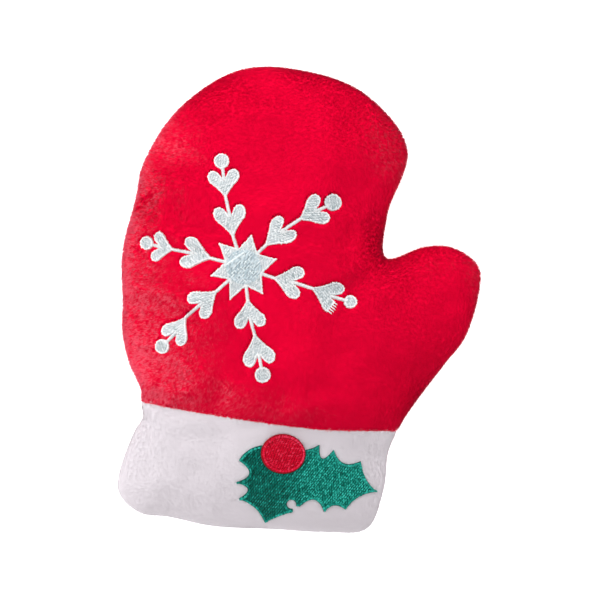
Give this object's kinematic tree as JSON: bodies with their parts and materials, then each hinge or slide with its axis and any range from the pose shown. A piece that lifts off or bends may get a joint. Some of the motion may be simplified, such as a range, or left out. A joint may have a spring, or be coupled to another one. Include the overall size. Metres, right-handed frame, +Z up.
{
  "type": "stuffed plush mitten",
  "caption": "Closed, stuffed plush mitten with a rounded hand, a plump thumb and a sewn-shut cuff in another colour, lying flat, with an embroidered snowflake on the hand and holly on its cuff.",
  "frame": {"origin": "under the middle of the mitten's overall box, on the surface that it lies on", "axes": "+Z up out of the embroidered front, +Y from the cuff to the fingertips, +X to the thumb side"},
  "size_m": [0.1383, 0.1791, 0.0492],
  "materials": {
    "plush_red": "short-pile plush, bright red, soft sheen at grazing angles",
    "plush_white": "short-pile plush, white with a faint cool cast",
    "fibre_filling": "loose polyester fibre",
    "thread_white": "satin and fill stitches, shiny white embroidery thread",
    "thread_blue_grey": "fill stitches, pale blue-grey embroidery thread",
    "thread_green": "fill stitches with a satin edge, green embroidery thread",
    "thread_red": "fill stitches with a satin rim, red embroidery thread"
  },
  "bodies": {
    "root": {"hand_front": "plush_red", "hand_back": "plush_red", "cuff_front": "plush_white", "cuff_back": "plush_white", "stuffing": "fibre_filling", "snowflake_arm_1": "thread_white", "snowflake_arm_2": "thread_white", "snowflake_arm_3": "thread_white", "snowflake_arm_4": "thread_white", "snowflake_arm_5": "thread_white", "snowflake_arm_6": "thread_white", "snowflake_star": "thread_white", "snowflake_hub": "thread_blue_grey", "holly_leaf_left": "thread_green", "holly_leaf_right": "thread_green", "holly_berry": "thread_red"}
  },
  "joints": []
}
